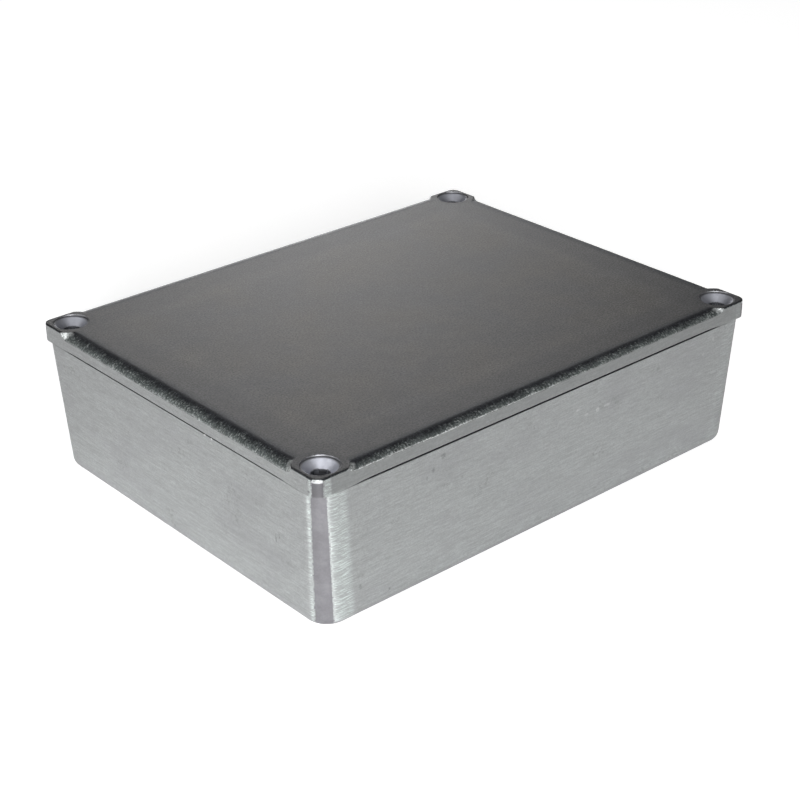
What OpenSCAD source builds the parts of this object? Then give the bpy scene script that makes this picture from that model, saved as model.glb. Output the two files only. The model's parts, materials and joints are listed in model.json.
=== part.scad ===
// Die cast aluminium box: a drafted, open-topped shell with four tapped corner posts, and a lid
// with countersunk corner bosses, bevelled edges and a tongue that drops into the mouth.
// Millimetres. X runs along the long side, Z is up, and the origin is the middle of the base.

/* [Outside] */
// Length of the lid along X
lid_length = 119.5; // [90:0.5:200]
// Width of the lid along Y
lid_width = 94; // [70:0.5:160]
// Height of the box from its base to the joint with the lid
box_height = 30; // [22:0.5:80]
// Height of the lid above the joint, at its flat top
lid_height = 4; // [3.6:0.1:6]
// Taper of the cast walls, inside and out, in degrees
draft_angle = 2.2; // [0.5:0.1:3]
// How far the rim of the box stands inside the edge of the lid
rim_step = 0.1; // [0:0.05:0.5]

/* [Outside rounding] */
// Corner radius of the box at its rim, seen from above
rim_corner_radius = 4.4; // [3:0.1:7]
// Corner radius of the box at its base, seen from above
base_corner_radius = 5.25; // [4:0.05:8]
// Fillet where the walls turn under into the base
base_fillet = 2.2; // [1:0.1:3.5]
// Corner radius of the lid, seen from above
lid_corner_radius = 2; // [1:0.1:4]

/* [Walls of the box] */
// Thickness of the side walls
wall = 2.3; // [1.8:0.1:3]
// Thickness of the floor
floor_thickness = 2.3; // [1.8:0.1:4]
// Corner radius of the cavity, seen from above
cavity_corner_radius = 3; // [2.2:0.1:5]
// Fillet where the cavity walls meet the floor
cavity_floor_fillet = 1.6; // [0.8:0.1:2]

/* [Screw posts] */
// Distance from each edge of the lid to the nearest screw axes
screw_inset = 4.5; // [4.3:0.05:6]
// Radius of a post at the rim
post_radius = 4.2; // [3.6:0.1:6]
// Fillet where a post runs into the wall
post_fillet = 1.2; // [0.6:0.1:2]
// Core diameter of the tapped holes
tap_diameter = 2.85; // [2:0.05:3.4]
// Depth of the full thread
tap_depth = 12; // [6:0.5:16]
// Chamfer at the mouth of the tapped holes
tap_chamfer = 0.35; // [0.1:0.05:0.5]

/* [Lid edge] */
// Radius of the broad rounding along the lid's top edges
edge_radius = 3.75; // [2.5:0.05:8]
// How far that rounding has dropped where it meets the short ends of the lid
end_edge_drop = 1.43; // [0.4:0.01:2]
// How far that rounding has dropped where it meets the long sides of the lid
side_edge_drop = 0.97; // [0.4:0.01:2]
// Radius of the full-height boss round each screw hole
boss_radius = 5.45; // [4.8:0.05:7]
// Fillet at the foot of a boss
boss_fillet = 1.1; // [0.3:0.1:1.2]
// Rounding of a boss's top edge along the outer faces
boss_edge_round = 0.35; // [0.1:0.05:0.5]

/* [Lid screw holes] */
// Diameter of the plain hole for the screw's shank
screw_hole_diameter = 3.6; // [3:0.1:4.2]
// Diameter of the countersink, at the bottom of its lip
countersink_diameter = 6.9; // [6:0.1:7.4]
// Full angle of the countersink, in degrees
countersink_angle = 90; // [82:1:110]
// Diameter of the shallow lip round the countersink
lip_diameter = 7.8; // [7.6:0.1:8.4]
// Depth of that lip
lip_depth = 0.25; // [0.1:0.05:0.4]

/* [Lid underside] */
// Thickness of the lid's plate inside its border
plate_thickness = 2.2; // [1.6:0.1:3]
// How deep the tongue reaches into the box
tongue_depth = 1.6; // [1:0.1:4]
// Thickness of the tongue
tongue_width = 1.8; // [1:0.1:3]
// Clearance between the tongue and the mouth of the box
tongue_clearance = 0.25; // [0.1:0.05:0.6]
// Gap along the joint between the corners, which alone carry the lid
joint_gap = 0.25; // [0.05:0.05:0.4]
// Length of the bearing at each corner, measured from the lid's side faces
bearing_length = 10; // [9:0.5:16]

/* [Hidden] */
$fn = 96;

top = box_height + lid_height;
rim_length = lid_length - 2 * rim_step;
rim_width = lid_width - 2 * rim_step;
mouth_length = rim_length - 2 * wall;
mouth_width = rim_width - 2 * wall;
screw_x = lid_length / 2 - screw_inset;
screw_y = lid_width / 2 - screw_inset;
// Distance from a screw axis out to the wall's inner face at the rim
post_to_wall = screw_inset - rim_step - wall;
// Cutters run this far past the faces that they open
over = 1;
// Facets round the blended corners of the drafted shells, and over their fillets
shell_facets = 40;
fillet_facets = 24;
drill_point_angle = 118;
// A post's fillet arcs overlap the post by this much, so that the two curves cross cleanly
fillet_bite = 0.02;

// A rectangle with round corners, centred on the origin
module rounded_plan(length, width, radius) {
    square([length - 2 * radius, width], center = true);
    square([length, width - 2 * radius], center = true);
    for (x = [-1, 1], y = [-1, 1])
        translate([x * (length / 2 - radius), y * (width / 2 - radius)])
            circle(radius);
}

// Puts a copy of the children on each screw axis, mirrored so that +X and +Y point outwards
module at_screws() {
    for (x = [0, 1], y = [0, 1])
        mirror([x, 0, 0])
            mirror([0, y, 0])
                translate([screw_x, screw_y, 0])
                    children();
}

// A block that widens from a filleted base to an open top. Its stated length, width and corner
// radius are those at the top, and it runs a little past the top to be cut off there.
module drafted_block(length, width, height, top_radius, bottom_radius, fillet) {
    slope = tan(draft_angle);
    corner_growth = (top_radius - bottom_radius) / height;
    hull() {
        translate([0, 0, height])
            linear_extrude(over)
                rounded_plan(
                    length + 2 * over * slope,
                    width + 2 * over * slope,
                    top_radius + over * corner_growth,
                    $fn = shell_facets
                );
        for (x = [-1, 1], y = [-1, 1])
            translate([
                x * (length / 2 - height * slope - bottom_radius),
                y * (width / 2 - height * slope - bottom_radius),
                fillet
            ])
                rotate_extrude($fn = shell_facets)
                    intersection() {
                        translate([bottom_radius - fillet, 0])
                            circle(fillet, $fn = fillet_facets);
                        translate([0, -fillet])
                            square([bottom_radius, fillet]);
                    }
    }
}

// Plan of one screw post, its axis at the origin and the box's corner towards +X and +Y,
// with the fillets that run it into both walls. "grow" moves the whole outline outwards.
module post_plan(grow = 0) {
    radius = post_radius + grow;
    fillet = max(post_fillet - grow, 0);
    to_wall = post_to_wall - grow;
    // Along the wall from the axis to the fillet's centre, and how high above the wall they meet
    run = sqrt(pow(radius + fillet - fillet_bite, 2) - pow(to_wall - fillet, 2));
    rise = to_wall - (to_wall - fillet) * radius / (radius + fillet);
    circle(radius);
    square(2 * screw_inset);
    if (fillet > 0)
        for (turn = [0, 1])
            mirror([turn, -turn, 0])
                difference() {
                    translate([-run, to_wall - rise])
                        square([run, rise + wall]);
                    translate([-run, to_wall - fillet])
                        circle(fillet);
                }
}

// Plan of the mouth inside the rim and round the posts, with every side moved in by "shrink"
module mouth_plan(shrink = 0) {
    difference() {
        square([mouth_length - 2 * shrink, mouth_width - 2 * shrink], center = true);
        at_screws()
            post_plan(shrink);
    }
}

// A tapped hole from its mouth at the origin downwards, ending in the drill's point
module tapped_hole() {
    radius = tap_diameter / 2;
    point = radius / tan(drill_point_angle / 2);
    translate([0, 0, -tap_depth])
        cylinder(h = tap_depth + over, r = radius);
    translate([0, 0, -tap_depth - point])
        cylinder(h = point, r1 = 0, r2 = radius);
    translate([0, 0, -tap_chamfer])
        cylinder(h = tap_chamfer, r1 = radius, r2 = radius + tap_chamfer);
}

// The space inside the box, open at the rim and cut back round the posts
module cavity() {
    difference() {
        translate([0, 0, floor_thickness])
            drafted_block(
                mouth_length,
                mouth_width,
                box_height - floor_thickness,
                cavity_corner_radius,
                cavity_corner_radius,
                cavity_floor_fillet
            );
        at_screws()
            linear_extrude(box_height + 2 * over)
                post_plan();
    }
}

module box() {
    color("silver")
        difference() {
            drafted_block(
                rim_length,
                rim_width,
                box_height,
                rim_corner_radius,
                base_corner_radius,
                base_fillet
            );
            translate([0, 0, box_height])
                linear_extrude(2 * over)
                    square([lid_length + 2 * over, lid_width + 2 * over], center = true);
            cavity();
            translate([0, 0, box_height])
                at_screws()
                    tapped_hole();
        }
}

// Section across the lid between two opposite edges, standing on the joint: flat on top, with
// a broad arc that has dropped by "drop" where it meets each side face
module crown_section(half, drop) {
    run = sqrt(drop * (2 * edge_radius - drop));
    translate([-(half - run), 0])
        square([2 * (half - run), lid_height]);
    translate([-half, 0])
        square([2 * half, lid_height - drop]);
    intersection() {
        for (side = [-1, 1])
            translate([side * (half - run), lid_height - edge_radius])
                circle(edge_radius);
        translate([-half, 0])
            square([2 * half, lid_height]);
    }
}

// The lid's plate, with its broad rounding along all four edges
module crowned_plate() {
    intersection() {
        linear_extrude(lid_height)
            rounded_plan(lid_length, lid_width, lid_corner_radius);
        rotate([90, 0, 90])
            linear_extrude(lid_length + 2 * over, center = true)
                crown_section(lid_width / 2, side_edge_drop);
        rotate([90, 0, 0])
            linear_extrude(lid_width + 2 * over, center = true)
                crown_section(lid_length / 2, end_edge_drop);
    }
}

// A slab as high and wide as the lid, its top edges only just rounded
module soft_slab() {
    radius = boss_edge_round;
    height = lid_height - radius;
    linear_extrude(height)
        rounded_plan(lid_length, lid_width, lid_corner_radius);
    linear_extrude(lid_height)
        rounded_plan(lid_length - 2 * radius, lid_width - 2 * radius, lid_corner_radius - radius);
    for (side = [-1, 1]) {
        translate([0, side * (lid_width / 2 - radius), height])
            rotate([0, 90, 0])
                cylinder(h = lid_length - 2 * lid_corner_radius, r = radius, center = true);
        translate([side * (lid_length / 2 - radius), 0, height])
            rotate([90, 0, 0])
                cylinder(h = lid_width - 2 * lid_corner_radius, r = radius, center = true);
    }
    for (x = [-1, 1], y = [-1, 1])
        translate([
            x * (lid_length / 2 - lid_corner_radius),
            y * (lid_width / 2 - lid_corner_radius),
            height
        ])
            rotate_extrude()
                translate([lid_corner_radius - radius, 0])
                    circle(radius);
}

// One boss, full height, with a fillet at its foot that runs out into the lid's rounding
module boss() {
    foot = lid_height - max(end_edge_drop, side_edge_drop);
    rotate_extrude() {
        square([boss_radius, lid_height]);
        difference() {
            square([boss_radius + boss_fillet, foot + boss_fillet]);
            translate([boss_radius + boss_fillet, foot + boss_fillet])
                circle(boss_fillet);
        }
    }
}

// Plain hole, countersink and the lip round it, from the lid's top at the origin downwards
module countersunk_hole() {
    hole_radius = screw_hole_diameter / 2;
    sink_radius = countersink_diameter / 2;
    depth = (sink_radius - hole_radius) / tan(countersink_angle / 2);
    translate([0, 0, -lid_height - over])
        cylinder(h = lid_height + 2 * over, r = hole_radius);
    translate([0, 0, -lip_depth - depth])
        cylinder(h = depth + over, r1 = hole_radius, r2 = sink_radius + over * tan(countersink_angle / 2));
    translate([0, 0, -lip_depth])
        cylinder(h = lip_depth + over, d = lip_diameter);
}

// The border between the corner bearings, relieved so that the lid sits on its corners alone
module joint_relief() {
    linear_extrude(joint_gap)
        difference() {
            union() {
                square([lid_length - 2 * bearing_length, lid_width + 2 * over], center = true);
                square([lid_length + 2 * over, lid_width - 2 * bearing_length], center = true);
            }
            mouth_plan(tongue_clearance);
        }
}

module lid() {
    recess_height = lid_height + tongue_depth - plate_thickness;
    color("darkgray")
        difference() {
            union() {
                translate([0, 0, box_height]) {
                    crowned_plate();
                    intersection() {
                        at_screws()
                            boss();
                        soft_slab();
                    }
                }
                translate([0, 0, box_height - tongue_depth])
                    linear_extrude(tongue_depth + lid_height / 2)
                        mouth_plan(tongue_clearance);
            }
            translate([0, 0, box_height - tongue_depth])
                linear_extrude(recess_height)
                    mouth_plan(tongue_clearance + tongue_width);
            translate([0, 0, box_height])
                joint_relief();
            translate([0, 0, top])
                at_screws()
                    countersunk_hole();
        }
}

box();
lid();
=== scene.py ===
"""Looks of a die cast aluminium box: its two castings as fine surfaces, their finishes and a studio stage.

All lengths are in metres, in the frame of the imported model: X along the long side, Z up, and the
origin in the middle of the base.
"""

import json
import math

import bmesh
import bpy
import numpy as np
from mathutils import Matrix, Vector
from mathutils.geometry import delaunay_2d_cdt


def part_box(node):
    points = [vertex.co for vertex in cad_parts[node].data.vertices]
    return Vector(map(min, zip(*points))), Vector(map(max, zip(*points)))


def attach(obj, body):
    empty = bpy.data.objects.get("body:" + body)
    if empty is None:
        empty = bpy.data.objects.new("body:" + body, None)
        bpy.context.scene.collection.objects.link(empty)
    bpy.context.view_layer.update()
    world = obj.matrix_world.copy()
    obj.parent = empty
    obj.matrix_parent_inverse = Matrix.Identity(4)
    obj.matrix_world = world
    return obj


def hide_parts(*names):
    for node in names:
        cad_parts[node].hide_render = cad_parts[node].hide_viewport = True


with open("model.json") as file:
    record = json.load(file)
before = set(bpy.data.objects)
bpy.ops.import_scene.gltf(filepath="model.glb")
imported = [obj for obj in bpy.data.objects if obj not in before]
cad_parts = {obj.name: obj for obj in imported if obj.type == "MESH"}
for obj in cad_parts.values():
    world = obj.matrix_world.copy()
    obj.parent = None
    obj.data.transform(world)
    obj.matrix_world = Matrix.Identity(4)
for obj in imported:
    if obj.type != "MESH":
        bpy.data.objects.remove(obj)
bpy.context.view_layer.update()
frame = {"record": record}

bl_info = {
    "name": "Die Cast Aluminium Box",
    "version": (1, 0, 0),
    "blender": (4, 5, 0),
    "location": "3D View > Sidebar > Cast Box",
    "description": "Builds the castings of an aluminium box, their finishes and a studio stage",
    "category": "Add Mesh",
}

MM = 0.001
BODY = "root"
# Points of neighbouring patches closer than this are one point
SEAM = 1e-6

# The driving sizes come from the frame
BOX_LOW, BOX_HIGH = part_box("box")
LID_LOW, LID_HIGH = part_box("lid")
LID_SCREWS = next(mount for mount in frame["record"]["mounts"] if mount["name"] == "lid_screws")
JOINT = BOX_HIGH.z
TOP = LID_HIGH.z
TONGUE_END = LID_LOW.z
LID_HALF = (LID_HIGH.x, LID_HIGH.y)
RIM_HALF = (BOX_HIGH.x, BOX_HIGH.y)
SCREW_X = 0.5 * MM * LID_SCREWS["dims"]["spacing_x_mm"]
SCREW_Y = 0.5 * MM * LID_SCREWS["dims"]["spacing_y_mm"]
SCREW_HOLE = MM * LID_SCREWS["dims"]["hole_r_mm"]
CORNERS = ((1, 1), (-1, 1), (-1, -1), (1, -1))
# Numbers of the finishes, in the order of FINISHES
LINISHED, CORNER_SKIN, CAST, LID_FACE, COUNTERSINK = range(5)
# The least fillet beside a screw post
LEAST_FILLET = 0.02 * MM
# How far a countersink's cone goes down from the top
CONE_DEPTH = 1.9 * MM
# The turn from which an edge is shaded as sharp
SHARP_TURN = math.radians(40)

# Single marks on the walls: middle and half sizes in millimetres, and strength
PALE_MARKS = (
    ((-59.6, -12.3, 29.8), (0.8, 0.5, 0.3), 1.0),
    ((-59.6, -14.5, 29.8), (0.8, 0.4, 0.28), 1.0),
    ((13.9, -46.6, 22.8), (0.7, 0.8, 0.7), 0.45),
    ((16.7, -46.6, 22.9), (1.3, 0.8, 0.35), 0.4),
    ((8.0, -46.7, 24.7), (0.9, 0.8, 0.4), 0.35),
    ((10.5, -46.6, 22.8), (0.8, 0.8, 0.4), 0.35),
    ((49.5, -46.8, 27.5), (0.4, 0.8, 0.6), 0.3),
    ((46.6, -46.7, 24.8), (0.4, 0.8, 0.5), 0.25),
)
DARK_MARKS = (
    ((-59.1, -33.0, 15.8), (0.8, 0.22, 1.3), 0.7),
    ((-59.1, -34.1, 16.7), (0.8, 0.2, 0.8), 0.6),
    ((-59.7, -44.6, 31.0), (0.8, 0.4, 0.35), 0.7),
    ((-49.5, -46.0, 6.9), (0.5, 0.8, 0.9), 0.35),
    ((-42.2, -45.9, 3.3), (0.4, 0.8, 0.4), 0.6),
    ((-29.0, -46.8, 27.9), (0.8, 0.8, 0.9), 0.4),
    ((-31.5, -46.7, 25.7), (0.5, 0.8, 0.8), 0.4),
    ((-33.1, -46.7, 24.4), (0.4, 0.8, 0.6), 0.4),
)


# ---------------------------------------------------------------- properties


def size(name, description, millimetres):
    """A length, given in millimetres and kept in metres."""
    return bpy.props.FloatProperty(
        name=name, description=description, default=millimetres * MM, precision=5, unit="LENGTH"
    )


def tint(name, description, colour):
    """A colour of a finish."""
    return bpy.props.FloatVectorProperty(
        name=name, description=description, default=colour, min=0, max=1, subtype="COLOR"
    )


def strength(name, description, value):
    """A strength between 0 and 1."""
    return bpy.props.FloatProperty(name=name, description=description, default=value, min=0, max=1)


def angle(name, description, degrees):
    """An angle, given in degrees and kept in radians."""
    return bpy.props.FloatProperty(
        name=name, description=description, default=math.radians(degrees), subtype="ANGLE"
    )


class CastBoxSizes(bpy.types.PropertyGroup):
    """Sizes of the box casting and of its mouth."""

    wall: size("Wall", "Thickness of the side walls at the rim", 2.3)
    floor: size("Floor", "Thickness of the floor", 2.3)
    draft: angle("Draft", "Taper of the walls, inside and out", 2.2)
    rim_radius: size("Rim radius", "Outer corner radius at the rim", 4.4)
    base_radius: size("Base radius", "Outer corner radius at the base", 5.25)
    base_fillet: size("Base fillet", "Rounding where the walls turn under", 2.2)
    floor_fillet: size("Floor fillet", "Rounding where the walls meet the floor inside", 1.6)
    post_radius: size("Post radius", "Radius of the screw posts", 4.2)
    post_fillet: size("Post fillet", "Rounding where a post runs into the walls", 1.2)
    edge_break: size("Edge break", "Rounding of the rim's two edges", 0.1)
    core_radius: size("Thread core", "Core radius of the tapped holes", 1.425)
    thread_radius: size("Thread radius", "Outer radius of the thread", 1.75)
    pitch: size("Pitch", "Pitch of the thread", 0.6)
    tap_depth: size("Tap depth", "Depth of the full thread", 12)
    cast_corner: angle("Cast corner", "Half of the turn at a corner that the belt leaves as cast", 17)


class CastLidSizes(bpy.types.PropertyGroup):
    """Sizes of the lid casting."""

    corner_radius: size("Corner radius", "Corner radius, seen from above", 2)
    edge_radius: size("Edge radius", "Radius of the broad rounding along the top edges", 3.75)
    end_drop: size("End drop", "How far that rounding has dropped at the short ends", 1.43)
    side_drop: size("Side drop", "How far that rounding has dropped at the long sides", 0.97)
    crease_round: size("Crease round", "Rounding where the edge meets the linished sides", 0.12)
    boss_radius: size("Boss radius", "Radius of the full-height bosses round the screw holes", 5.45)
    boss_fillet: size("Boss fillet", "Fillet at the foot of a boss", 1.1)
    boss_edge: size("Boss edge", "Rounding of a boss's edge along the outer faces", 0.35)
    mouth_radius: size("Mouth radius", "Outer radius of the lip round a countersink", 3.9)
    sink_radius: size("Countersink radius", "Radius of the countersink inside its lip", 3.45)
    lip_depth: size("Lip depth", "Depth of the lip round a countersink", 0.25)
    plate: size("Plate", "Thickness of the lid's plate", 2.2)
    tongue: size("Tongue", "Thickness of the tongue that drops into the mouth", 1.8)
    clearance: size("Clearance", "Clearance between the tongue and the mouth", 0.25)
    side_gap: size("Side gap", "Gap of the joint in the middle of the long sides", 0.34)
    end_gap: size("End gap", "Gap of the joint in the middle of the short ends", 0.22)
    edge_break: size("Edge break", "Rounding of the lid's lower edge", 0.08)
    cast_corner: angle("Cast corner", "Half of the turn at a corner that the belt leaves as cast", 29)


class FinishColours(bpy.types.PropertyGroup):
    """Colours of the finishes."""

    linished: tint("Linished", "Belt-ground side walls", (0.575, 0.594, 0.592))
    cast: tint("Cast", "Bare cast skin at the corners and inside", (0.33, 0.325, 0.345))
    plate: tint("Plate", "Dull cast skin on top of the lid", (0.0775, 0.0755, 0.0735))
    plate_warm: tint("Warm clouds", "Brownish clouds on top of the lid", (0.083, 0.0785, 0.0735))
    plate_cool: tint("Cool clouds", "Bluish clouds on top of the lid", (0.073, 0.0725, 0.0745))
    # Painted reflection of the dark space above, on the lid's rounded edges; also the dark joint line on
    # the walls, and painted shade in the joint and at the countersinks' feet
    edge: tint("Edge", "Dark skin of the lid's rounded edges", (0.03, 0.032, 0.038))
    # Painted reflection: the lighter lower part of the lid's rounded edges
    edge_low_reflection: tint("Lower edge", "Lower part of the lid's rounded edges", (0.14, 0.158, 0.155))
    sparkle: tint("Sparkle", "Bright grains in the lid's rounded edges", (0.5, 0.53, 0.52))
    countersink: tint("Countersink", "Smooth countersinks", (0.5, 0.51, 0.56))


class StageSettings(bpy.types.PropertyGroup):
    """Camera, floor and lights."""

    azimuth: angle("Azimuth", "Direction of the camera round the box", -40.633)
    elevation: angle("Elevation", "Height of the camera above the horizon", 27.02)
    roll: angle("Roll", "Turn of the camera about its own axis", -0.857)
    distance: size("Distance", "Distance from the camera to its target", 383.861)
    target_x: size("Target X", "Where the camera looks, along X", -5.845)
    target_y: size("Target Y", "Where the camera looks, along Y", -7.415)
    target_z: size("Target Z", "Where the camera looks, along Z", 17)
    lens: bpy.props.FloatProperty(
        name="Lens", description="Focal length on a 36 mm sensor", default=80.313, unit="CAMERA"
    )
    floor: tint("Floor", "Colour of the floor", (0.8, 0.8, 0.8))
    floor_half: size("Floor size", "Half of the floor's side", 4000)
    floor_glow: strength("Floor glow", "Light that the floor adds where the camera sees it", 0.5)
    world: strength("World", "Light of the world on the box", 0.125)
    lamp_side: size("Lamp size", "Side of each square lamp", 500)
    lamp_distance: size("Lamp distance", "Distance from the box to each lamp", 1500)


# Name, turn from +Y towards +X and rise above the horizon in degrees, and power in watts
LAMPS = (
    ("front", -145, 20, 35),
    ("left", -80, 28, 9),
    ("back", 32, 10, 3.3),
    ("low back", 42, 16, 2),
)


# ------------------------------------------------------------------- surfaces


def smooth_step(low, high, value):
    """0 up to low, 1 from high, and the cubic 3t2 - 2t3 between them."""
    t = np.clip((value - low) / (high - low), 0, 1)
    return t * t * (3 - 2 * t)


def unevenness(along, size, longest, seed):
    """A slow waver along an edge: three sines, each shorter and lower than the last."""
    waver = 0
    for octave in range(3):
        share = 0.6**octave
        waver = waver + share * np.sin(2 * np.pi * along / (longest * 0.37**octave) + seed * (1.7 + octave))
    return size * waver / 1.96


def quarter_circle(across, radius):
    """How far a rounding has dropped at a distance in from its edge: r - sqrt(r2 - (r - a)2)."""
    left = np.clip(radius - across, 0, radius)
    return radius - np.sqrt(radius**2 - left**2)


def arc_steps(radius, count, turn=np.pi / 2):
    """Distances in from the edge and drops of an arc that starts level: r sin t and r (1 - cos t)."""
    t = np.linspace(0, turn, count)
    return radius * np.sin(t), radius * (1 - np.cos(t))


def outward(x, y, half, radius):
    """Unit normal of a rounded rectangle's outline at its points, and the way along the outline from
    there to the nearest end of a straight side: positive round the corner, negative on the side. The
    normal is the vector from the corner's centre, cut off at zero."""
    past_x = np.maximum(np.abs(x) - (half[0] - radius), 0)
    past_y = np.maximum(np.abs(y) - (half[1] - radius), 0)
    long = np.maximum(np.hypot(past_x, past_y), 1e-12)
    turn = np.arctan2(np.minimum(past_x, past_y), np.maximum(past_x, past_y))
    straight = np.maximum(half[0] - radius - np.abs(x), half[1] - radius - np.abs(y))
    way = turn * radius - np.maximum(straight, 0)
    return np.sign(x) * past_x / long, np.sign(y) * past_y / long, way


def inset_from(x, y, half, radius):
    """Distance in from the outline of a rounded rectangle."""
    past_x = np.abs(x) - (half[0] - radius)
    past_y = np.abs(y) - (half[1] - radius)
    outside = np.hypot(np.maximum(past_x, 0), np.maximum(past_y, 0))
    inside = np.minimum(np.maximum(past_x, past_y), 0)
    return radius - outside - inside


def all_round(quarter):
    """A closed loop from its quarter in the +X +Y corner, which runs from the X axis to the Y axis:
    the quarter is mirrored into the other corners, and each shared end is kept once."""
    back = quarter[..., ::-1, :]
    parts = (quarter, back * (-1, 1), quarter * (-1, -1), back * (1, -1))
    return np.concatenate([part[..., :-1, :] for part in parts], axis=-2)


def rounded_loop(half_x, half_y, radius):
    """Rounded rectangles, one a row: a straight, a quarter circle about the corner's centre and a
    straight, carried all round."""
    half_x, half_y, radius = (np.atleast_1d(value)[:, None] for value in (half_x, half_y, radius))
    t = np.linspace(0, np.pi / 2, 25)
    share = np.linspace(0, 1, 30, endpoint=False)
    level = 0 * share
    x = [half_x + level, half_x - radius + radius * np.cos(t), (half_x - radius) * (1 - share - 1 / 30)]
    y = [(half_y - radius) * share, half_y - radius + radius * np.sin(t), half_y + level]
    return all_round(np.stack([np.hstack(x), np.hstack(y)], axis=-1))


def mouth_loop(half_x, half_y, post_radius, fillet):
    """Outlines of the box's mouth, one a row. Each quarter is the wall, a fillet that touches both
    the wall and the post, the post's arc, the other fillet and the other wall. A fillet's centre is
    a fillet in from the wall, and a post plus a fillet away from the screw axis."""
    values = (half_x, half_y, post_radius, fillet)
    half_x, half_y, post_radius, fillet = (np.atleast_1d(value)[:, None] for value in values)
    apart = post_radius + fillet
    low_x, low_y = half_x - fillet, SCREW_Y - np.sqrt(apart**2 - (half_x - fillet - SCREW_X) ** 2)
    high_x, high_y = SCREW_X - np.sqrt(apart**2 - (half_y - fillet - SCREW_Y) ** 2), half_y - fillet
    low_turn = np.arctan2(SCREW_Y - low_y, SCREW_X - low_x)
    high_turn = np.arctan2(SCREW_Y - high_y, SCREW_X - high_x)
    share = np.linspace(0, 1, 9)
    first = low_turn * share
    last = high_turn + (np.pi / 2 - high_turn) * share
    round_post = np.linspace(0, 1, 25)[1:-1]
    post = (low_turn + np.pi) * (1 - round_post) + (high_turn + np.pi) * round_post
    wall = np.linspace(0, 1, 25, endpoint=False)
    level = 0 * wall
    x = [
        half_x + level,
        low_x + fillet * np.cos(first),
        SCREW_X + post_radius * np.cos(post),
        high_x + fillet * np.cos(last),
        high_x * (1 - wall - 1 / 25),
    ]
    y = [
        low_y * wall,
        low_y + fillet * np.sin(first),
        SCREW_Y + post_radius * np.sin(post),
        high_y + fillet * np.sin(last),
        half_y + level,
    ]
    return all_round(np.stack([np.hstack(x), np.hstack(y)], axis=-1))


def lift(plan, height):
    """Points in space from rows of plan points and a height for each row or each point."""
    height = np.asarray(height)
    height = height[:, None] if height.ndim == 1 else height
    return np.concatenate([plan, np.broadcast_to(height, plan.shape[:2])[..., None]], axis=-1)


def within(points, loop):
    """Which plan points lie inside a closed loop: those from which a line towards +X crosses it an
    odd number of times."""
    x, y = points[:, :1], points[:, 1:]
    x0, y0 = loop.T
    x1, y1 = np.roll(loop, -1, axis=0).T
    spans = (y0 > y) != (y1 > y)
    rise = np.where(y1 == y0, 1, y1 - y0)
    crossing = x0 + (y - y0) * (x1 - x0) / rise
    return (spans & (x < crossing)).sum(axis=1) % 2 == 1


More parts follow.
